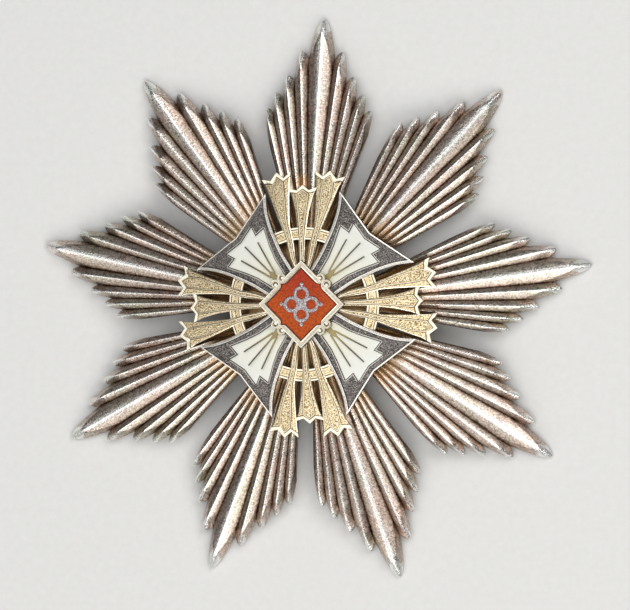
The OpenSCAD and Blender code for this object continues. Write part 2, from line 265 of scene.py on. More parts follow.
# Metal with a stippled ground and polished lines. The tone attribute runs from a recess at 0 to an edge at 1,
# and the grain attribute says how strongly the ground is stippled
goldFinish = {
    "name": "stippledGilt",
    "stops": [(0.0, (0.085, 0.045, 0.015)), (0.28, (0.4, 0.285, 0.13)), (0.5, (0.83, 0.66, 0.39)),
              (0.75, (0.91, 0.79, 0.54)), (1.0, (0.99, 0.95, 0.8))],
    "rough": (0.5, 0.26), "grainScale": 4800.0, "grainShare": 0.85,
}
darkFinish = {
    "name": "blackenedSilver",
    "stops": [(0.0, (0.03, 0.024, 0.024)), (0.3, (0.155, 0.142, 0.136)), (0.58, (0.42, 0.385, 0.35)),
              (1.0, (0.95, 0.93, 0.86))],
    "rough": (0.55, 0.3), "grainScale": 5600.0, "grainShare": 0.52,
}
frameFinish = {
    "name": "polishedGilt",
    "stops": [(0.0, (0.07, 0.045, 0.025)), (0.3, (0.44, 0.37, 0.26)), (0.62, (0.76, 0.71, 0.57)),
              (1.0, (0.99, 0.97, 0.88))],
    "rough": (0.42, 0.26), "grainScale": 3600.0, "grainShare": 0.55,
}
deviceFinish = {
    "name": "deviceSilver",
    "stops": [(0.0, (0.07, 0.05, 0.055)), (0.5, (0.33, 0.29, 0.3)), (1.0, (0.66, 0.61, 0.62))],
    "rough": (0.5, 0.36), "grainScale": 4200.0, "grainShare": 0.75,
}


def stippledMetal(given):
    made, place = newMaterial(given["name"], 1.0)
    grain = attribute(place, "grain")
    speckle = grainOf(place, given["grainScale"])
    cloud = noise(place, 420.0, 4.0, 0.6)
    share = sums("MULTIPLY", sums("ADD", grain, 0.15), given["grainShare"])
    tone = swing(swing(attribute(place, "tone"), share, speckle), 0.14, cloud)
    colour = mixed(attribute(place, "warm"), ramp(tone, given["stops"]), (0.42, 0.34, 0.16))
    coarse = bump(cloud, 0.2, 0.0003)
    fine = bump(speckle, mapped(grain, 0.0, 1.0, 0.05, 0.6), 0.00009, coarse)
    return connected(made, colour, fine, mapped(tone, 0.2, 1.0, *given["rough"]))


# Glossy enamels
# The rim colour is painted shade along the enamel's edges
whiteFinish = {
    "coat": 0.9, "body": (0.71, 0.71, 0.645), "rim": (0.56, 0.58, 0.52),
    "cloud": (0.74, 0.78, 0.74), "speck": (0.55, 0.56, 0.5),
    "cream": (1.0, 0.965, 0.84), "creamFull": 0.01, "creamFrom": 0.0145,
}


def whiteEnamel(given):
    made, place = newMaterial("whiteEnamel", 0.0, **{
        "Coat Weight": given["coat"], "Coat Roughness": 0.05, "Roughness": 0.22})
    cloud = noise(place, 300.0, 4.0, 0.6)
    specks = noise(place, 2600.0, 2.0, 0.6)
    # Darker towards every edge of the enamel: painted shade, in the rim colour
    colour = mixed(attribute(place, "tone"), given["rim"], given["body"])
    colour = mixed(mapped(cloud, 0.4, 0.7, 0.0, 0.3), colour, given["cloud"])
    colour = mixed(mapped(specks, 0.66, 0.74, 0.0, 0.35), colour, given["speck"])
    cream = mapped(distanceFrom(place), given["creamFull"], given["creamFrom"], 0.9, 0.0)
    colour = mixed(cream, colour, given["cream"], "MULTIPLY")
    return connected(made, colour, bump(cloud, 0.12, 0.0003))


redFinish = {
    # The rim colour is painted shade along the field's edge
    "coat": 0.1, "red": (0.39, 0.034, 0.01), "rim": (0.06, 0.012, 0.006), "speckle": (0.52, 1.22),
    "orange": (0.47, 0.072, 0.007), "orangeFrom": -0.0015, "orangeFull": 0.0062,
}


def redEnamel(given):
    # Red towards the top corner and orange towards the side and bottom ones
    made, place = newMaterial("redEnamel", 0.0, **{
        "Coat Weight": given["coat"], "Coat Roughness": 0.06, "Roughness": 0.3, "Specular IOR Level": 0.12})
    speckle = grainOf(place, 3600.0)
    cloud = noise(place, 420.0, 3.0, 0.6)
    aside = addNode(place, "SeparateXYZ", {0: place}, "X")
    low = sums("SUBTRACT", sums("ABSOLUTE", aside), aside.node.outputs["Y"])
    low = sums("MULTIPLY_ADD", cloud, 0.004, low)
    share = mapped(low, given["orangeFrom"], given["orangeFull"])
    colour = mixed(share, given["red"], given["orange"])
    colour = scaled(colour, mapped(speckle, 0.0, 1.0, *given["speckle"]))
    # Dark towards the field's edge beside the frame: painted shade
    colour = mixed(mapped(attribute(place, "tone"), 0.55, 0.25), colour, given["rim"])
    return connected(made, colour, bump(cloud, 0.1, 0.0003))


# Plain old silver of the brooch pin at the back
pinStops = [(0.3, (0.2, 0.16, 0.14)), (0.5, (0.46, 0.41, 0.37)), (0.75, (0.7, 0.66, 0.61))]


def plainSilver(stops):
    made, place = newMaterial("plainSilver", 1.0)
    cloud = noise(place, 350.0, 5.0, 0.65)
    scratches = bump(noise(place, 3000.0, 2.0, 0.6), 0.3, 0.00006)
    return connected(made, ramp(cloud, stops), scratches, mapped(cloud, 0.3, 0.7, 0.5, 0.3))


def floorMaterial():
    made, place = newMaterial("paleFloor", 0.0, **{"Roughness": 0.8})
    grain = mapped(noise(place, 900.0), 0.3, 0.7)
    return connected(made, mixed(grain, (0.66, 0.66, 0.65), (0.69, 0.69, 0.68)))


silver = silverMaterial(starFinish)
gilt = stippledMetal(goldFinish)
blackened = stippledMetal(darkFinish)
polished = stippledMetal(frameFinish)
deviceMetal = stippledMetal(deviceFinish)
white = whiteEnamel(whiteFinish)
red = redEnamel(redFinish)
pinMetal = plainSilver(pinStops)
print("materials made")


# Mesh helpers. Points are in millimetres until the mesh is made
def makeObject(name, points, quads, triangles, attributes, material, sharp):
    mesh = bpy.data.meshes.new(name)
    corners = np.concatenate([np.ravel(quads), np.ravel(triangles)]).astype(np.int32)
    counts = np.concatenate([np.full(len(quads), 4), np.full(len(triangles), 3)])
    starts = (np.cumsum(counts) - counts).astype(np.int32)
    mesh.vertices.add(len(points))
    mesh.vertices.foreach_set("co", (np.asarray(points) * 0.001).astype(np.float32).ravel())
    mesh.loops.add(len(corners))
    mesh.loops.foreach_set("vertex_index", corners)
    mesh.polygons.add(len(counts))
    mesh.polygons.foreach_set("loop_start", starts)
    mesh.polygons.foreach_set("use_smooth", np.ones(len(counts), bool))
    for key, values in attributes.items():
        mesh.attributes.new(key, "FLOAT", "POINT").data.foreach_set("value", values.astype(np.float32))
    mesh.update(calc_edges=True)
    mesh.validate()
    mesh.set_sharp_from_angle(angle=math.radians(sharp))
    mesh.materials.append(material)
    return addObject(name, mesh)


def lifted(plan, height):
    # Plan points at one height or at a list of heights
    return np.column_stack([plan, np.full(len(plan), height)])


def unit(angle):
    # Directions at the given angles, which are in radians
    return np.stack([np.cos(angle), np.sin(angle)], -1)


def turned(points, degrees):
    # Points turned about the axis
    cosine, sine = math.cos(math.radians(degrees)), math.sin(math.radians(degrees))
    x, y = points[..., 0], points[..., 1]
    return np.stack([x * cosine - y * sine, x * sine + y * cosine], -1)


def quarters(points, way=1):
    # Points in all four quarter turns, as one list
    return np.concatenate([turned(np.atleast_2d(points), 90 * way * k) for k in range(4)])


def smooth(value, low, high):
    # From 0 to 1 by 3 * s ** 2 - 2 * s ** 3
    share = np.clip((value - low) / (high - low), 0, 1)
    return share * share * (3 - 2 * share)


# Star. A point lies at share w along a ray and share s across its flank, from the ridge at 0 to the valley
# at 1. Its distance from the fan's focus runs from the hub's circle to the end radius
# tip - (tip - notch) * s ** 1.67, and its height is the dished underside plus the metal's thickness, which
# falls from the ridge by slope * distance * (p * s + (1 - p) * s ** 2), where p is the pitch, and thins
# towards the ray's end
starShape = {
    "radius": 43.5, "fans": 9, "spread": 37.4, "turn": -2.0, "focus": 2.7,
    "hub": 11.0, "seat": 6.0, "seatRise": 1.75, "underRise": 3.6,
    "ridge": 1.8, "edge": 0.45, "slope": 0.024, "pitch": 0.6, "endBend": 1.67,
    "tipFall": 2.4, "tipBend": 0.85, "wearAndHighlightLength": 2.2, "wearAndHighlightLeast": 0.25, "crown": 0.12,
    "dishBend": 1.6, "alongRay": 30, "crowding": 2.2, "shade": 0.93,
    "wobble": (0.007, 9, 2.3),  # Amount, waves by angle share, by fan
    "shadeWaves": ((0.09, 3.7, 5.1), (0.06, 9.1, -2.9)),  # Amount, waves by flank, by fan
    "backLooks": {"relief": 0.45, "wearAndHighlight": 0.1, "shade": 0.8},
    "seatLooks": {"relief": 0.25, "shade": 0.8},
}
flankSteps = np.array([0, 0.09, 0.2, 0.34, 0.5, 0.67, 0.84, 1.0])
# Rows run from a fan's middle ray outwards. Columns: ridge angle and outer valley angle as shares of
# half the spread, tip radius and outer notch radius as shares of the star's radius
rayTable = np.array([
    [0, 0.171, 1, 0.858],
    [0.267, 0.396, 0.888, 0.782],
    [0.497, 0.604, 0.808, 0.725],
    [0.7, 0.802, 0.755, 0.684],
    [0.898, 1, 0.709, 0.62]])


def underside(radius):
    # A dish that falls from the rise at the middle to 0 at the star's radius
    return starShape["underRise"] * (1 - (radius / starShape["radius"]) ** starShape["dishBend"])


def halfFan(table, share, bend):
    # Columns: angle share, end radius share, share across the flank, number of the flank
    def flank(ray, valley, notch, across, number):
        return np.stack([ray[0] + (valley - ray[0]) * across, ray[2] - (ray[2] - notch) * across ** bend,
                         across, np.full(len(across), number)], 1)

    rows = [flank(table[0], table[0, 1], table[0, 3], share, 0)]
    for number, (before, ray) in enumerate(zip(table[:-1], table[1:])):
        rows.append(flank(ray, before[1], before[3], share[::-1], 2 * number + 1)[1:])
        rows.append(flank(ray, ray[1], ray[3], share, 2 * number + 2)[1:])
    return np.concatenate(rows)


def starSurface(shape, across):
    # The top and the underside on a grid of fans, columns across the fan and places along the ray
    long = shape["alongRay"]
    along = 1 - (1 - np.arange(long) / (long - 1)) ** shape["crowding"]
    number = np.arange(shape["fans"])[:, None, None]
    share, end, flank, flankId = across.T[:, None, :, None]
    amount, byShare, byFan = shape["wobble"]
    share = share + amount * (1 - share ** 2) * np.sin(byShare * share + byFan * number)
    angle = np.radians(share * shape["spread"] / 2)
    axis = np.radians(90 + shape["turn"] + 360 / shape["fans"] * number)
    focus = shape["focus"]

    def reach(radius):
        return np.sqrt(radius ** 2 - (focus * np.sin(angle)) ** 2) - focus * np.cos(angle)

    start, end = reach(shape["hub"]), reach(end * shape["radius"])
    far = start + along * (end - start)
    left = (1 - along) * (end - start)
    x = focus * np.cos(axis) + far * np.cos(axis + angle)
    y = focus * np.sin(axis) + far * np.sin(axis + angle)
    low = underside(np.hypot(x, y))
    fall = np.minimum(1, left / shape["tipFall"]) ** shape["tipBend"]
    depth = shape["slope"] * far * (shape["pitch"] * flank + (1 - shape["pitch"]) * flank ** 2)
    high = low + shape["edge"] + (shape["ridge"] - shape["edge"] - depth) * fall
    relief = (1 - flank) * (1 + shape["crown"] * (np.abs(flankId + 0.5) < 1))
    # Lighter towards each ray's tip: partly wear, partly a painted highlight
    least = shape["wearAndHighlightLeast"]
    wornAndLit = np.clip(1 - left / shape["wearAndHighlightLength"], 0, 1) * (least + (1 - least) * relief)
    shade = shape["shade"]
    for amount, byFlank, byFan in shape["shadeWaves"]:
        shade = shade + amount * np.sin(byFlank * flankId + byFan * number)
    looks = {"relief": relief, "wearAndHighlight": wornAndLit, "shade": shade, "along": far, "across": far * angle}
    return x, y, low, high, {key: (value + 0 * x).ravel() for key, value in looks.items()}


def starFaces(fans, wide, long):
    # The top, the underside, the walls at the rays' ends, at a fan's two sides and in the gaps between the
    # fans, the slope up to the seat, and the triangles of the seat and of the hub's underside
    count = fans * wide * long
    ids = np.arange(count).reshape(fans, wide, long)

    def wall(one, other):
        one, other = one.ravel(), other.ravel()
        return np.stack([one, one + count, other + count, other], -1)

    a, b, c, d = ids[:, :-1, :-1], ids[:, 1:, :-1], ids[:, 1:, 1:], ids[:, :-1, 1:]
    rim = ids[:, :, 0].ravel()
    inner = 2 * count + np.arange(len(rim))
    nextRim, nextInner = np.roll(rim, -1), np.roll(inner, -1)
    quads = [np.stack([a, d, c, b], -1).reshape(-1, 4), np.stack([a, b, c, d], -1).reshape(-1, 4) + count,
             wall(ids[:, :-1, -1], ids[:, 1:, -1]), wall(ids[:, 0, :-1], ids[:, 0, 1:]),
             wall(ids[:, -1, :-1], ids[:, -1, 1:])[:, [0, 3, 2, 1]],
             wall(ids[:, -1, 0], np.roll(ids[:, 0, 0], -1)),
             np.stack([rim, nextRim, nextInner, inner], -1)]
    centre = np.full(len(rim), 2 * count + len(rim))
    triangles = [np.stack([inner, nextInner, centre], -1),
                 np.stack([nextRim + count, rim + count, centre + 1], -1)]
    return np.concatenate(quads), np.concatenate(triangles)


def buildStar(shape, table):
    half = halfFan(table, flankSteps, shape["endBend"])
    other = half[:0:-1] * (-1, 1, 1, -1) - (0, 0, 0, 1)
    across = np.concatenate([other, half])
    x, y, low, high, looks = starSurface(shape, across)
    ring = np.stack([x, y], -1)[:, :, 0].reshape(-1, 2)
    hubLow = underside(shape["hub"])
    seatTop = hubLow + shape["ridge"] + shape["seatRise"]
    points = np.concatenate([
        np.stack([x, y, high], -1).reshape(-1, 3), np.stack([x, y, low], -1).reshape(-1, 3),
        lifted(ring * shape["seat"] / shape["hub"], seatTop), [[0, 0, seatTop], [0, 0, hubLow]]])
    attributes = {}
    for key, face in looks.items():
        under = np.full(len(face), shape["backLooks"][key]) if key in shape["backLooks"] else face
        rest = np.full(len(points) - 2 * len(face), shape["seatLooks"].get(key, 0.0))
        attributes[key] = np.concatenate([face, under, rest])
    faces = starFaces(shape["fans"], len(across), shape["alongRay"])
    return makeObject("ray_fans", points, *faces, attributes, silver, sharp=26)


star = buildStar(starShape, rayTable)
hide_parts("ray_star")
print("star made:", len(star.data.polygons), "faces")


# Plan helpers for the stamped plates
def steppedLoop(loop, step):
    # A closed line with its corners kept and its sides cut into short steps
    ends = np.roll(loop, -1, 0)
    counts = np.maximum(1, np.ceil(np.hypot(*(ends - loop).T) / step).astype(int))
    row = np.repeat(np.arange(len(loop)), counts)
    place = np.arange(counts.sum()) - np.repeat(np.cumsum(counts) - counts, counts)
    share = (place / counts[row])[:, None]
    return loop[row] * (1 - share) + ends[row] * share


def insetLoop(loop, gap):
    # A closed anticlockwise line moved inwards by the gap, along the halving line of each corner
    sides = np.roll(loop, -1, 0) - loop
    sides = sides / np.hypot(*sides.T)[:, None]
    inward = np.column_stack([-sides[:, 1], sides[:, 0]])
    halving = inward + np.roll(inward, 1, 0)
    scale = 2 / np.maximum((halving ** 2).sum(1), 0.5)
    return loop + halving * scale[:, None] * gap


def insets(loop, *gaps):
    return [insetLoop(loop, gap) for gap in gaps]


def edgeGap(points, loop, closedLoop=True):
    # Distance from each point to the nearest side of the line
    starts = loop if closedLoop else loop[:-1]
    ends = np.roll(loop, -1, 0) if closedLoop else loop[1:]
    way = ends - starts
    square = (way ** 2).sum(1)
    nearest = []
    for part in np.array_split(points, len(points) // 3000 + 1):
        offset = part[:, None] - starts
        along = np.clip((offset * way).sum(2) / square, 0, 1)
        gap = offset - along[..., None] * way
        nearest.append(np.sqrt((gap ** 2).sum(2).min(1)))
    return np.concatenate(nearest)


def insideLoop(points, loop):
    # Even-odd test against a closed line
    x, y = points[:, :1], points[:, 1:]
    ends = np.roll(loop, -1, 0)
    crosses = (loop[:, 1] > y) != (ends[:, 1] > y)
    rise = ends[:, 1] - loop[:, 1]
    cut = loop[:, 0] + (y - loop[:, 1]) * (ends[:, 0] - loop[:, 0]) / np.where(rise == 0, 1e-9, rise)
    return (crosses & (x < cut)).sum(1) % 2 == 1


def depthIn(points, loop):
    # Distance to the closed line, positive inside it
    return np.where(insideLoop(points, loop), 1, -1) * edgeGap(points, loop)


def fillPlan(loops, inside, step, side=0.3):
    # Triangles between the given closed lines, cut into short sides, with an even net of points between
    loops = [steppedLoop(loop, side) for loop in loops]
    points = np.concatenate(loops)
    ids = np.split(np.arange(len(points)), np.cumsum([len(loop) for loop in loops])[:-1])
    edges = np.concatenate([np.column_stack([row, np.roll(row, -1)]) for row in ids])
    low, high = points.min(0), points.max(0)
    x, y = np.meshgrid(np.arange(low[0], high[0], step), np.arange(low[1], high[1], step * 0.87))
    x[1::2] += step / 2
    net = np.column_stack([x.ravel(), y.ravel()])
    net = net[inside(net)]
    clear = np.ones(len(net), bool)
    for loop in loops:
        clear &= edgeGap(net, loop) > step * 0.45
    everything = np.concatenate([points, net[clear]])
    made = delaunay_2d_cdt(everything.tolist(), edges.tolist(), [], 0, 1e-4, False)
    plan = np.array([tuple(v) for v in made[0]])
    faces = np.array(made[2])
    faces = faces[inside(plan[faces].mean(1))]
    used, faces = np.unique(faces, return_inverse=True)
    faces = faces.reshape(-1, 3)
    plan = plan[used]
    a, b, c = plan[faces.T]
    area = (b[:, 0] - a[:, 0]) * (c[:, 1] - a[:, 1]) - (b[:, 1] - a[:, 1]) * (c[:, 0] - a[:, 0])
    faces[area < 0] = faces[area < 0][:, ::-1]
    return plan, faces


def stampedPlate(plan, faces, top, bottom, looks, foot):
    # A closed plate over a filled plan: its top, its bottom and the wall along each open edge
    count = len(plan)
    points = np.concatenate([lifted(plan, top), lifted(plan, bottom)])
    sides = np.concatenate([faces[:, [0, 1]], faces[:, [1, 2]], faces[:, [2, 0]]])
    a, b = sides[~np.isin(sides @ (count, 1), sides @ (1, count))].T
    quads = np.stack([b, a, a + count, b + count], -1)
    triangles = np.concatenate([faces, faces[:, ::-1] + count])
    attributes = {key: np.concatenate([values, np.full(count, foot.get(key, 0.0))])
                  for key, values in looks.items()}
    return points, quads, triangles, attributes


def joined(*plates):
    # Several plates as one mesh
    points, quads, triangles, attributes = zip(*plates)
    firsts = np.cumsum([0] + [len(part) for part in points[:-1]])
    return (np.concatenate(points),
            np.concatenate([part + first for part, first in zip(quads, firsts)]),
            np.concatenate([part + first for part, first in zip(triangles, firsts)]),
            {key: np.concatenate([part[key] for part in attributes]) for key in attributes[0]})


def fourTimes(plate, start, turns=4):
    # Copies of a plate turned about the axis and joined in one mesh
    points, *rest = plate
    return joined(*[(lifted(turned(points[:, :2], start + 90 * k), points[:, 2]), *rest)
                    for k in range(turns)])


def metalLooks(count, tone, grain, warm=0.0):
    # Attributes of the stippled metals, each a number or a list of values
    return {"tone": np.full(count, tone), "grain": np.full(count, grain), "warm": np.full(count, warm)}


def circle(centre, radius, sides):
    return unit(np.linspace(0, 2 * math.pi, sides, endpoint=False)) * radius + centre


def disc(radius, low, high, place=(0.0, 0.0), sides=48, tone=0.3):
    # A plain round of metal between two heights
    rim = circle(place, radius, sides)
    points = np.concatenate([lifted(rim, low), lifted(rim, high), [[*place, low], [*place, high]]])
    here = np.arange(sides)
    after = (here + 1) % sides
    centre = np.full(sides, 2 * sides)
    quads = np.stack([here, after, after + sides, here + sides], -1)
    triangles = np.concatenate([
        np.stack([after, here, centre], -1), np.stack([here + sides, after + sides, centre + 1], -1)])
    return points, quads, triangles, metalLooks(len(points), tone, 0.3)


def straddle(*gaps):
    # A gap just below and one just above each given one
    return [gap + side for gap in gaps for side in (-0.01, 0.01)]


def lay(surface, where, zone, raised=False):
    # The drop, the tone and the grain of a zone, put where the test holds. A raised zone never lowers
    # or darkens what is there
    drop, tone, grain = zone
    if raised:
        drop, tone = np.minimum(surface[0, where], drop), np.maximum(surface[1, where], tone)
    surface[0, where], surface[1, where], surface[2, where] = drop, tone, grain


# Heights of the stack above the star
stack = {"domeRadius": 70.0, "crossTurn": 1.8, "seatTop": 6.751, "footTop": 7.301, "plateTop": 8.501,
         "goldTop": 8.401}


def domedPlate(plan, faces, level, drop, thick, looks, foot):
    # A plate on a sphere whose crown lies at the level, with its top lowered by the drop
    radius = stack["domeRadius"]

    def dome(top):
        return top - radius + np.sqrt(radius ** 2 - (plan ** 2).sum(1))

    return stampedPlate(plan, faces, dome(level) - drop, dome(level - thick), looks, foot)


def mirroredLoop(half):
    # A half outline closed by its mirror image, without a second point on the axis
    half = np.array(half, float)
    back = half[::-1]
    back = back[np.abs(back[:, 0]) > 1e-9] * (-1, 1)
    return np.concatenate([half, back])


def anticlockwise(loop):
    # The closed line, turned round if its signed area is negative
    ends = np.roll(loop, -1, 0)
    area = (loop[:, 0] * ends[:, 1] - loop[:, 1] * ends[:, 0]).sum()
    return loop if area > 0 else loop[::-1]


# Dark cross. The height over the plan is the dome less a drop that depends on the distances to the arm's
# sides, to its outer edges and to the enamel field: a rounded rim, a stippled ground, a thin wall, a cell
darkShape = {
    "half": 7.9, "length": 16.1, "dip": 14.75, "thick": 0.9, "disc": 4.2,
    # shade is the width of a strip of painted shade beside the side rim
    "sideRim": 0.42, "sideLine": 0.11, "sideFall": 0.06, "shade": 0.1,
    "outerRim": 0.18, "outerFall": 0.015, "wall": 0.24, "groove": 0.1, "vein": 0.2,
    "warmFrom": -10.5, "warmFull": -6.8, "warmLeast": 0.14, "warmMore": 0.78,
    "zones": {  # Drop, tone and grain of each
        "ground": (0.28, 0.3, 1.0), "rim": (0.08, 0.72, 0.5), "line": (0.0, 0.96, 0.1),
        # The zone shade is painted shade beside the side rim
        "shade": (0.31, 0.1, 0.2), "outer": (0.02, 0.97, 0.1), "wall": (0.07, 0.72, 0.2),
        "groove": (0.28, 0.08, 0.2), "cell": (0.6, 0.15, 0.3), "vein": (0.09, 0.22, 0.2),
    },
}
plateSide = [
    [0.3, 0.18], [0.33, 0.25], [0.373, 0.354], [0.443, 0.49],
    [0.551, 0.634], [0.646, 0.745], [0.797, 0.876], [1, 1]]
fieldSide = [
    [0.165, 0.318], [0.19, 0.373], [0.243, 0.488], [0.345, 0.613],
    [0.506, 0.776], [0.298, 0.786], [0.355, 0.876], [0, 0.845]]
veinTable = [[-0.055, 0.395, -0.24, 0.725], [0, 0.43, 0, 0.789], [0.055, 0.395, 0.24, 0.725]]
wedgeTable = [[-0.06, 0.3], [0.06, 0.3], [0.04, 0.41], [0, 0.46], [-0.04, 0.41]]


def roundedSide(side, steps=5):
    # The side's points joined by a smooth curve instead of straight pieces
    fine = np.linspace(0, len(side) - 1, (len(side) - 1) * steps + 1)
    slopes = np.gradient(side, axis=0)
    row = np.minimum(fine.astype(int), len(side) - 2)
    share = (fine - row)[:, None]
    return (side[row] * (1 + 2 * share) * (1 - share) ** 2 + slopes[row] * share * (1 - share) ** 2
            + side[row + 1] * share ** 2 * (3 - 2 * share) - slopes[row + 1] * share ** 2 * (1 - share))


size = (darkShape["half"], darkShape["length"])
sideLine = roundedSide(np.multiply(plateSide, size))
darkLoop = anticlockwise(mirroredLoop(np.concatenate([sideLine, [[0, darkShape["dip"]]]])))
fieldLoop = anticlockwise(mirroredLoop(np.multiply(fieldSide, size)))
outerLine = np.array([[-size[0], size[1]], [0, darkShape["dip"]], [size[0], size[1]]])


def veinLoops(grow):
    # The wedge and the three veins, which narrow from the root to two thirds at the tip, grown by a margin
    loops = [insetLoop(anticlockwise(np.multiply(wedgeTable, size)), -grow)]
    for row in veinTable:
        root, tip = np.reshape(row, (2, 2)) * size
        way = (tip - root) / np.hypot(*(tip - root))
        side = np.array([-way[1], way[0]])
        wide, fine = side * (darkShape["vein"] / 2 + grow), side * (darkShape["vein"] / 3 + grow)
        foot, end = root - way * grow, tip + way * grow
        loops.append(anticlockwise(np.array([foot - wide, end - fine, end + fine, foot + wide])))
    return loops


def depthInAny(points, loops):
    # The greatest depth in any of the closed lines
    return np.max([depthIn(points, loop) for loop in loops], axis=0)


def darkLooks(plan):
    # The zones by distance, each over the ones before. The rim rises outwards, and the outer rim is round
    given, zones = darkShape, darkShape["zones"]
    toSide = np.minimum(edgeGap(plan, sideLine, False), edgeGap(plan, sideLine * (-1, 1), False))
    toOuter = edgeGap(plan, outerLine, False)
    toField = depthIn(plan, fieldLoop)
    toVein = depthInAny(plan, veinLoops(0.0))
    width, half = given["sideRim"], given["outerRim"] / 2
    surface = np.full((len(plan), 3), zones["ground"]).T
    rim = toSide < width
    lay(surface, rim, zones["rim"])
    surface[0, rim] -= given["sideFall"] * toSide[rim] / width
    lay(surface, rim & (toSide > width - given["sideLine"]), zones["line"])
    # A strip just beside the rim, a little deeper than the ground, is painted shade
    lay(surface, ~rim & (toSide < width + given["shade"]), zones["shade"])
    outer = toOuter < given["outerRim"]
    drop, *looks = zones["outer"]
    lay(surface, outer, (drop + given["outerFall"] * ((toOuter[outer] - half) / half) ** 2, *looks), True)
    lay(surface, (toField <= -given["groove"]) & (toField > -given["wall"]), zones["wall"], True)
    lay(surface, (toField <= 0) & (toField > -given["groove"]), zones["groove"])
    lay(surface, toField > 0, zones["cell"])
    vein = (toVein >= -1e-4) & (toField > -0.01)
    lay(surface, vein, zones["vein"])
    warm = given["warmMore"] * smooth(-plan[:, 1], given["warmFrom"], given["warmFull"]) + given["warmLeast"]
    return surface[0], metalLooks(len(plan), *surface[1:], np.where(vein, warm, 0.0))


def buildDark():
    given = darkShape
    width = given["sideRim"]
    steps = straddle(given["outerRim"], width - given["sideLine"], width, width + given["shade"])
    loops = [darkLoop, *insets(darkLoop, 0.03, 0.08, *steps)]
    loops += insets(fieldLoop, *straddle(-given["wall"], -given["groove"], 0))
    loops += veinLoops(0.0) + veinLoops(0.03)
    plan, faces = fillPlan(loops, lambda points: insideLoop(points, darkLoop), step=0.55)
    drop, looks = darkLooks(plan)
    foot = {"tone": 0.35, "grain": 0.4}
    plate = domedPlate(plan, faces, stack["plateTop"], drop, given["thick"], looks, foot)
    arms = fourTimes(plate, 45 + stack["crossTurn"])
    centre = disc(given["disc"], stack["footTop"], stack["plateTop"])
    return makeObject("dark_cross", *joined(arms, centre), blackened, sharp=35)


darkCross = buildDark()
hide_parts("diagonal_cross")
print("dark cross made:", len(darkCross.data.polygons), "faces")


# White enamel: the field less its veins, its top a little rounded towards every edge, where its tone
# is lowered as painted shade
enamelShape = {"gap": 0.03, "top": 0.1, "thick": 0.42, "edgeFall": 0.07, "edgeWidth": 0.3, "paintedEdgeShade": 0.6}


def buildEnamel():
    given = enamelShape
    outline = insetLoop(fieldLoop, given["gap"])
    veins = veinLoops(given["gap"])

    def inside(points):
        inVein = np.any([insideLoop(points, loop) for loop in veins], axis=0)
        return insideLoop(points, outline) & ~inVein

    loops = [outline, *insets(fieldLoop, *np.add(given["gap"], (0.06, 0.16, 0.3)))]
    loops += veins + veinLoops(given["gap"] + 0.08)
    plan, faces = fillPlan(loops, inside, step=0.4)
    toEdge = np.minimum(edgeGap(plan, outline), -depthInAny(plan, veins))
    near = np.clip(1 - toEdge / given["edgeWidth"], 0, 1) ** 2
    # The tone falls towards every edge as painted shade
    looks = {"tone": 1 - given["paintedEdgeShade"] * near}
    drop = given["edgeFall"] * near
    level = stack["plateTop"] - given["top"]
    plate = domedPlate(plan, faces, level, drop, given["thick"], looks, {"tone": 0.3})
    arms = [fourTimes(plate, stack["crossTurn"] - 45 - 90 * k, 1) for k in range(4)]
    return [makeObject(f"white_field_{number}", *arm, white, sharp=40) for number, arm in enumerate(arms, 1)]


whiteFields = buildEnamel()
for number, piece in enumerate(whiteFields, 1):
    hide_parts(f"enamel_arm_{number}")
print("white enamel made")


# Gilt cross. The height over the plan is the dome less a drop: each reed has a stippled panel inside a thin
# polished line, nearly flat strips with a bright edge beside it, and a tilted polished lip beyond a zigzag
# line, and the band between the reeds has a lip along each edge and two thin lines
goldShape = {
    "thick": 0.8, "stripInner": 0.09, "edgeLine": 0.1, "line": 0.13, "innerGroove": 0.07, "groove": 0.09,
    "lipDrop": 0.22, "lipTilt": -0.15, "lipGroove": 0.13, "lipFollow": (0.35, 0.65),
    "bandInner": 9.85, "bandOuter": 11.65, "bandGap": 0.3, "bandStipple": (10.44, 11.06),
    "footRadius": 5.7, "postRadius": 0.7, "postAt": 4.95,
    "zones": {  # Drop, tone and grain of each
        "none": (9.0, 0.0, 0.0), "strip": (0.15, 0.5, 0.8), "edge": (0.05, 0.95, 0.1),
        "groove": (0.26, 0.16, 0.2), "line": (0.0, 0.88, 0.0), "panel": (0.05, 0.5, 1.0),
        # The zone shade is painted shade just inside each panel's polished line
        "shade": (0.12, 0.27, 0.3), "lipGroove": (0.26, 0.1, 0.2), "lip": (0.03, 0.93, 0.15),
    },
}
# Outlines in millimetres: distance from the arm's axis, distance from the centre
reedTable = [
    [0.3, 5.3], [1.15, 5.3], [1.42, 5.9], [1.87, 7.2], [2.27, 8.8], [2.42, 9.7], [2.9, 11],
    [3.3, 12], [3.9, 13.4], [5, 16.2], [5.55, 17.6], [6.26, 18.72], [6.5, 19.12],
    [5.12, 18.85], [4.2, 20.12], [3.05, 19.22], [1.98, 20.2], [2.08, 18.79], [2.08, 16.2],
    [2.02, 14], [1.9, 12], [1.36, 9.7], [1.21, 8.8], [1.03, 7.2], [0.8, 6]]
panelTable = [
    [0.6, 5.45], [0.98, 5.45], [1.22, 6], [1.7, 7.2], [2.05, 8.8], [2.18, 9.7], [2.9, 12],
    [3.45, 13.4], [4.48, 16.2], [4.78, 18.28], [4.2, 19.42], [3.12, 18.66], [2.75, 16.2],
    [2.48, 13.4], [2.25, 12], [1.6, 9.7], [1.45, 8.8], [1.2, 7.2], [0.95, 6]]
middleReed = [
    [0.4, 5.3], [0.4, 7.2], [0.46, 8.8], [0.5, 9.76], [0.74, 11.9], [1.02, 13.9], [1.6, 16.3],
    [2.2, 17.65], [0.92, 17.28], [0, 18.1]]
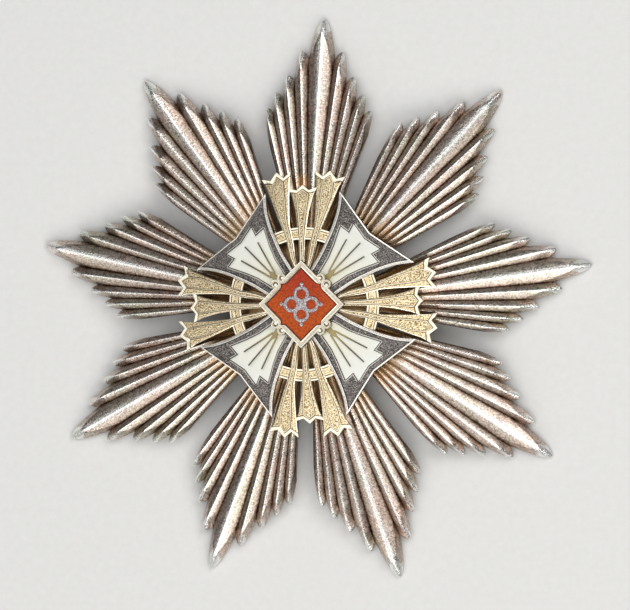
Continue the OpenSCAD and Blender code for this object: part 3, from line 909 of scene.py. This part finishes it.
middlePanel = [
    [0.18, 5.45], [0.18, 7.2], [0.24, 8.8], [0.27, 9.76], [0.42, 11.9], [0.62, 13.9], [0.92, 16.1],
    [0.9, 16.75], [0, 17.42]]
# Zigzag lines where the lips start, from the axis outwards, in the same columns
sideZigzag = [[1.5, 20], [1.95, 19.6], [3.12, 18.79], [4.2, 19.55], [4.74, 18.41], [6.6, 18.5]]
middleZigzag = [[0, 17.55], [0.95, 16.91], [2.1, 17.1], [2.6, 17.25]]
# Cross section of the band. Columns: radius, drop, tone
bandSteps = [
    [9.85, 0.14, 0.97], [10.1, 0.14, 0.97], [10.12, 0.28, 0.15], [10.22, 0.28, 0.15], [10.24, 0.17, 0.66],
    [10.38, 0.17, 0.66], [10.4, 0.19, 0.5], [11.04, 0.19, 0.5], [11.06, 0.17, 0.7], [11.26, 0.17, 0.7],
    [11.28, 0.28, 0.15], [11.4, 0.28, 0.15], [11.42, 0.14, 0.98], [11.65, 0.14, 0.98]]


def reedLoops():
    # Each row: outline, panel, zigzag line, mean distance of that line
    side, face = np.array(reedTable), np.array(panelTable)
    rows = [(side, face, sideZigzag, 19.0), (side * (-1, 1), face * (-1, 1), sideZigzag, 19.0),
            (mirroredLoop(middleReed), mirroredLoop(middlePanel), middleZigzag, 17.1)]
    return [(anticlockwise(a), anticlockwise(b), np.array(line), mean) for a, b, line, mean in rows]


def bandLoop():
    # The band's outline: two arcs that stop a hair short of the dark arms
    limit = 45 - np.degrees(np.arctan2(*sideLine.T))
    inner, outer = goldShape["bandInner"], goldShape["bandOuter"]
    ends = np.interp([inner, outer], np.hypot(*sideLine.T), limit) - goldShape["bandGap"]
    share = np.linspace(-1, 1, 25)
    low, high = unit(np.radians(90 - share * ends[0])), unit(np.radians(90 + share * ends[1]))
    return anticlockwise(np.concatenate([inner * low, outer * high]))


def reedSurface(plan, toEdge, toPanel, zigzag, mean):
    # The zones of one reed by distance. The strip rises from the edge to the panel, the bright edge falls
    # outwards, and the lip is tilted along the arm
    given, zones = goldShape, goldShape["zones"]
    surface = np.full((len(plan), 3), zones["strip"]).T
    share = np.clip(toEdge / (toEdge + np.maximum(-toPanel, 0) + 1e-6), 0, 1)
    surface[0] += (given["stripInner"] - zones["strip"][0]) * share
    edge = toEdge < given["edgeLine"]
    drop, *looks = zones["edge"]
    lay(surface, edge, (surface[0, edge] + drop * (1 - toEdge[edge] / given["edgeLine"]), *looks))
    lay(surface, (toPanel < 0) & (toPanel > -given["groove"]), zones["groove"])
    lay(surface, (toPanel >= 0) & (toPanel < given["line"]), zones["line"])
    panel = toPanel >= given["line"]
    lay(surface, panel, zones["panel"])
    # A strip of painted shade just inside the panel's polished line
    lay(surface, panel & (toPanel < given["line"] + given["innerGroove"]), zones["shade"])
    lineAt = np.interp(np.abs(plan[:, 0]), *zigzag.T)
    beyond = plan[:, 1] - lineAt
    lay(surface, (beyond > -given["lipGroove"]) & (beyond <= 0) & (toPanel < 0), zones["lipGroove"])
    byLine, byMean = given["lipFollow"]
    tilted = given["lipDrop"] + given["lipTilt"] * (plan[:, 1] - byLine * lineAt - byMean * mean)
    lip = beyond > 0
    drop, *looks = zones["lip"]
    lay(surface, lip, (np.maximum(tilted[lip], drop), *looks))
    return surface


def goldLooks(plan, reeds, band):
    # The highest reed wins, and the band fills what no reed covers
    zones = goldShape["zones"]
    none = zones["none"][0]
    surface = np.full((len(plan), 3), zones["none"]).T
    for outline, panel, zigzag, mean in reeds:
        toEdge = depthIn(plan, outline)
        reed = reedSurface(plan, toEdge, depthIn(plan, panel), zigzag, mean)
        surface = np.where((toEdge > -1e-3) & (reed[0] < surface[0]), reed, surface)
    drop, tone, grain = surface
    free = (depthIn(plan, band) > -1e-3) & (drop == none)
    radius = np.hypot(*plan.T)[free]
    at, drops, tones = np.transpose(bandSteps)
    drop[free], tone[free] = np.interp(radius, at, drops), np.interp(radius, at, tones)
    low, high = goldShape["bandStipple"]
    grain[free] = np.where((radius > low) & (radius < high), 1.0, 0.1)
    return np.where(drop == none, zones["strip"][0], drop), metalLooks(len(plan), tone, grain)


def goldLoops(outlines, reeds):
    # Lines on both sides of each step in height: round the reeds and panels, beside the zigzags, and
    # across the band
    given = goldShape
    shade = given["line"] + given["innerGroove"]
    loops = list(outlines)
    for outline, panel in [reed[:2] for reed in reeds]:
        loops += insets(outline, -0.03, 0.05, *straddle(given["edgeLine"]))
        loops += insets(panel, *straddle(-given["groove"], 0, given["line"], shade))
    for side, zigzag in ((1, sideZigzag), (-1, sideZigzag), (1, middleZigzag), (-1, middleZigzag)):
        for down in (0.0, given["lipGroove"]):
            line = np.array(zigzag) * (side, 1) - (0, down)
            loops.append(np.concatenate([line + (0, 0.01), line[::-1] - (0, 0.01)]))
    arc = unit(np.radians(90 + np.linspace(-20, 20, 41)))
    for outer, inner in zip(bandSteps[2:-1:2], bandSteps[1:-2:2]):
        loops.append(np.concatenate([arc * outer[0], arc[::-1] * inner[0]]))
    return loops


def buildGold():
    given = goldShape
    reeds, band = reedLoops(), bandLoop()
    outlines = [row[0] for row in reeds] + [band]

    def inside(points):
        return np.any([insideLoop(points, loop) for loop in outlines], axis=0)

    plan, faces = fillPlan(goldLoops(outlines, reeds), inside, step=0.5)
    drop, looks = goldLooks(plan, reeds, band)
    foot = {"tone": 0.25, "grain": 0.3}
    plate = domedPlate(plan, faces, stack["goldTop"], drop, given["thick"], looks, foot)
    arms = fourTimes(plate, stack["crossTurn"])
    base = disc(given["footRadius"], stack["seatTop"], stack["footTop"])
    postTop = stack["goldTop"] - given["thick"]
    post = disc(given["postRadius"], stack["seatTop"], postTop, (0.0, given["postAt"]), sides=24)
    return makeObject("gilt_cross", *joined(arms, base, fourTimes(post, stack["crossTurn"])), gilt, sharp=35)


goldCross = buildGold()
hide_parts("gold_cross")
print("gilt cross made:", len(goldCross.data.polygons), "faces")


# Medallion: a frame of eight flat bars, each of which runs from a corner along the side and curls into
# a scroll, on a dark base, with the red field and the device inside it
medallion = {
    "frame": 6.7, "base": 0.52, "height": 0.85, "floor": 0.25, "floorShare": 0.66,
    "barField": 5.56, "barOuter": 6.66, "barFoot": 0.1, "sideSteps": 13,
    "volute": 0.7, "voluteAt": (0.448, 0.59), "scrollSteps": 44, "scrollFall": 0.08,
    "eye": 0.22, "eyeShift": 0.11, "eyeFall": 0.1,
    "field": 5.5, "fieldGap": 0.03, "fieldFall": 0.05, "fieldEdge": 0.35, "enamel": 0.38,
    "device": 0.15, "ring": 1.25, "line": 0.55, "bud": 0.4125, "crownWidth": 0.16,
    "deviceFoot": 0.05, "deviceRise": (0.45, 0.55), "deviceTone": (0.3, 0.35),
}
frameQuarter = [
    [0, 1], [0.366, 0.634], [0.403, 0.582], [0.507, 0.507], [0.582, 0.403], [0.634, 0.366]]
fieldQuarter = [
    [0, 1], [0.355, 0.645], [0.409, 0.6], [0.469, 0.569], [0.524, 0.56], [0.573, 0.573],
    [0.56, 0.524], [0.569, 0.469], [0.6, 0.409], [0.645, 0.355]]
# The scroll round its centre. Columns: angle in degrees, radius of the bar's outer side, width of the bar
scrollTable = np.array([
    [-135, 0.983, 0.778], [-90, 0.85, 0.48], [-20, 0.74, 0.34], [60, 0.7, 0.31], [120, 0.68, 0.3],
    [175, 0.62, 0.28]])
# Cross section of a bar. Columns: share across it, drop below the frame's top, tone. The tones are a painted
# highlight on the two crests and painted shade in the hollow between them and on the sides
barProfile = np.array([
    [0, 0.12, 0.35], [0.05, 0.03, 0.9], [0.09, 0, 0.95], [0.18, 0.01, 0.9], [0.24, 0.06, 0.46],
    [0.5, 0.07, 0.44], [0.74, 0.05, 0.52], [0.8, 0, 1], [0.91, 0, 1], [0.95, 0.03, 0.95],
    [1, 0.1, 0.7]])


def distances(points, centres):
    # From each point to each centre
    return np.hypot(points[:, None, 0] - centres[:, 0], points[:, None, 1] - centres[:, 1])


def quarterLoop(quarter, radius):
    # A quarter of an outline given as shares of the radius, turned into all four
    return anticlockwise(quarters(np.array(quarter) * radius, -1))


def halfBar(given, scroll, profile, side):
    # The profile swept from the corner's mitre along the side and round the scroll
    centre = np.array(given["voluteAt"]) * given["frame"]
    straight, bent = given["sideSteps"], given["scrollSteps"]
    angle = np.linspace(scroll[0, 0], scroll[-1, 0], bent)
    radius, width = np.interp(angle, *scroll[:, :2].T), np.interp(angle, *scroll[:, [0, 2]].T)
    way = unit(np.radians(angle))
    near, far = centre + way * radius[:, None], centre + way * (radius - width)[:, None]
    share = np.linspace(0, 1, straight + 1)[:-1, None]
    near = np.concatenate([share * near[0] + (1 - share) * (0, given["barField"]), near])
    far = np.concatenate([share * far[0] + (1 - share) * (0, given["barOuter"]), far])
    sunk = np.concatenate([np.zeros(straight), np.linspace(0, given["scrollFall"], bent)])[:, None]
    across = np.concatenate([profile[:, 0], [1, 0]])[:, None]
    plan = near[:, None] * (1 - across) + far[:, None] * across
    down = np.concatenate([profile[:, 1], [0, 0]])
    height = stack["plateTop"] + given["height"] - down - sunk
    height[:, -2:] = stack["plateTop"] + given["base"] - given["barFoot"]
    long, wide = height.shape
    points = np.concatenate([plan * (side, 1), height[..., None]], -1).reshape(-1, 3)
    ids = np.arange(long * wide).reshape(long, wide)
    after = np.roll(ids, -1, 1)
    quads = np.stack([ids[:-1], ids[1:], after[1:], after[:-1]], -1).reshape(-1, 4)
    first, last = ids[0], ids[-1]
    triangles = np.concatenate([
        np.stack([np.full(wide - 2, first[0]), first[1:-1], first[2:]], -1),
        np.stack([np.full(wide - 2, last[0]), last[2:], last[1:-1]], -1)])
    if side < 0:
        quads, triangles = quads[:, ::-1], triangles[:, ::-1]
    # Tones across the bar: painted highlight on the crests, painted shade between and beside them and at the
    # foot
    tone = np.tile(np.concatenate([profile[:, 2], [0.2, 0.2]]), long)
    return points, quads, triangles, metalLooks(len(points), tone, 0.25)


def buildFrame():
    given = medallion
    outline = quarterLoop(frameQuarter, given["frame"])
    hole = quarterLoop(fieldQuarter, given["field"])
    volute = np.array(given["voluteAt"]) * given["frame"]
    centres = quarters([volute, volute * (-1, 1)])

    def inside(points):
        inVolute = distances(points, centres).min(1) < given["volute"]
        return (insideLoop(points, outline) | inVolute) & ~insideLoop(points, hole)

    loops = [outline, hole] + [circle(centre, given["volute"], 32) for centre in centres]
    plan, faces = fillPlan(loops, inside, step=0.4)
    low = stack["plateTop"]
    looks = metalLooks(len(plan), 0.12, 0.3)
    base = stampedPlate(plan, faces, low + given["base"], low, looks, {"tone": 0.2})
    bars = [fourTimes(halfBar(given, scrollTable, barProfile, side), 0) for side in (1, -1)]
    eye = centres[0] + given["eyeShift"] * unit(np.radians(scrollTable[-1, 0]))
    eyeTop = low + given["height"] - given["eyeFall"]
    eyes = [disc(given["eye"], low + given["floor"], eyeTop, eye * (side, 1), sides=20, tone=0.8)
            for side in (1, -1)]
    eyes = [fourTimes(single, 0) for single in eyes]
    floor = disc(given["field"] * given["floorShare"], low, low + given["floor"])
    return makeObject("lozenge_frame", *joined(base, *bars, *eyes, floor), polished, sharp=40)


lozenge = buildFrame()
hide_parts("medallion_frame")
print("frame made:", len(lozenge.data.polygons), "faces")


def buildField():
    # Flat within a rounded edge that falls by the square of its nearness to the outline
    given = medallion
    outline = insetLoop(quarterLoop(fieldQuarter, given["field"]), given["fieldGap"])
    loops = [outline, *insets(outline, 0.06, 0.15, 0.3)]
    plan, faces = fillPlan(loops, lambda points: insideLoop(points, outline), step=0.4, side=0.25)
    near = np.clip(1 - edgeGap(plan, outline) / given["fieldEdge"], 0, 1) ** 2
    low = stack["plateTop"] + given["floor"]
    top = low + given["enamel"] - given["fieldFall"] * near
    # The tone falls towards the outline, which the material turns into painted shade
    plate = stampedPlate(plan, faces, top, low, {"tone": 1 - near}, {"tone": 0.0})
    return makeObject("red_field", *plate, red, sharp=40)


redField = buildField()
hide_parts("medallion_enamel")
print("red field made")


# Device: a knot of four open rings round a small disc, with a bud beyond each ring
def buildDevice():
    given = medallion
    half = given["line"] / 2
    middle, ringAt = given["ring"] - half, given["ring"] + half
    rings, buds = quarters([0, ringAt]), quarters([0, ringAt + given["ring"] + half])

    def depth(points):
        # How deep a point lies in a ring's band, in the disc or in a bud, whichever is greatest
        inRing = (half - np.abs(distances(points, rings) - middle)).max(1)
        inDisc = given["line"] - np.hypot(*points.T)
        inBud = ((given["bud"] - np.abs(points[:, None] - buds).sum(2)) / math.sqrt(2)).max(1)
        return np.maximum(np.maximum(inRing, inDisc), inBud)

    loops = [circle(c, middle + side * half * share, 48) for c in rings for side in (-1, 1)
             for share in (1.0, 0.75, 0.4)]
    loops += [circle((0, 0), given["line"] * share, 32) for share in (1.0, 0.8)]
    loops += [circle(c, given["bud"] * share, 4) for c in buds for share in (1.0, 0.7)]
    plan, faces = fillPlan(loops, lambda points: depth(points) > 0, step=0.15, side=1.0)
    inner = np.maximum(depth(plan), 0)
    crown = np.sqrt(np.clip(1 - (1 - np.clip(inner / given["crownWidth"], 0, 1)) ** 2, 0, 1))
    low = stack["plateTop"] + given["floor"] + given["enamel"]
    (least, more), (dark, bright) = given["deviceRise"], given["deviceTone"]
    top = low + given["device"] * (least + more * crown)
    looks = metalLooks(len(plan), dark + bright * crown, 1.0)
    plate = stampedPlate(plan, faces, top, low - given["deviceFoot"], looks, {"tone": 0.1})
    return makeObject("silver_device", *plate, deviceMetal, sharp=40)


device = buildDevice()
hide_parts("medallion_device")
print("device made")

for piece in [star, darkCross, *whiteFields, goldCross, lozenge, redField, device]:
    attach(piece, "root")

# The brooch pin keeps its own mesh
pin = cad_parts["brooch_pin"]
pin.data.materials.clear()
pin.data.materials.append(pinMetal)


def makeFloor(height, half=3.0):
    # A square of the given half width
    mesh = bpy.data.meshes.new("floor")
    corners = [(-half, -half, height), (half, -half, height), (half, half, height), (-half, half, height)]
    mesh.from_pydata(corners, [], [(0, 1, 2, 3)])
    mesh.materials.append(floorMaterial())
    addObject("floor", mesh)


makeFloor(-0.00002)
print("scene made")
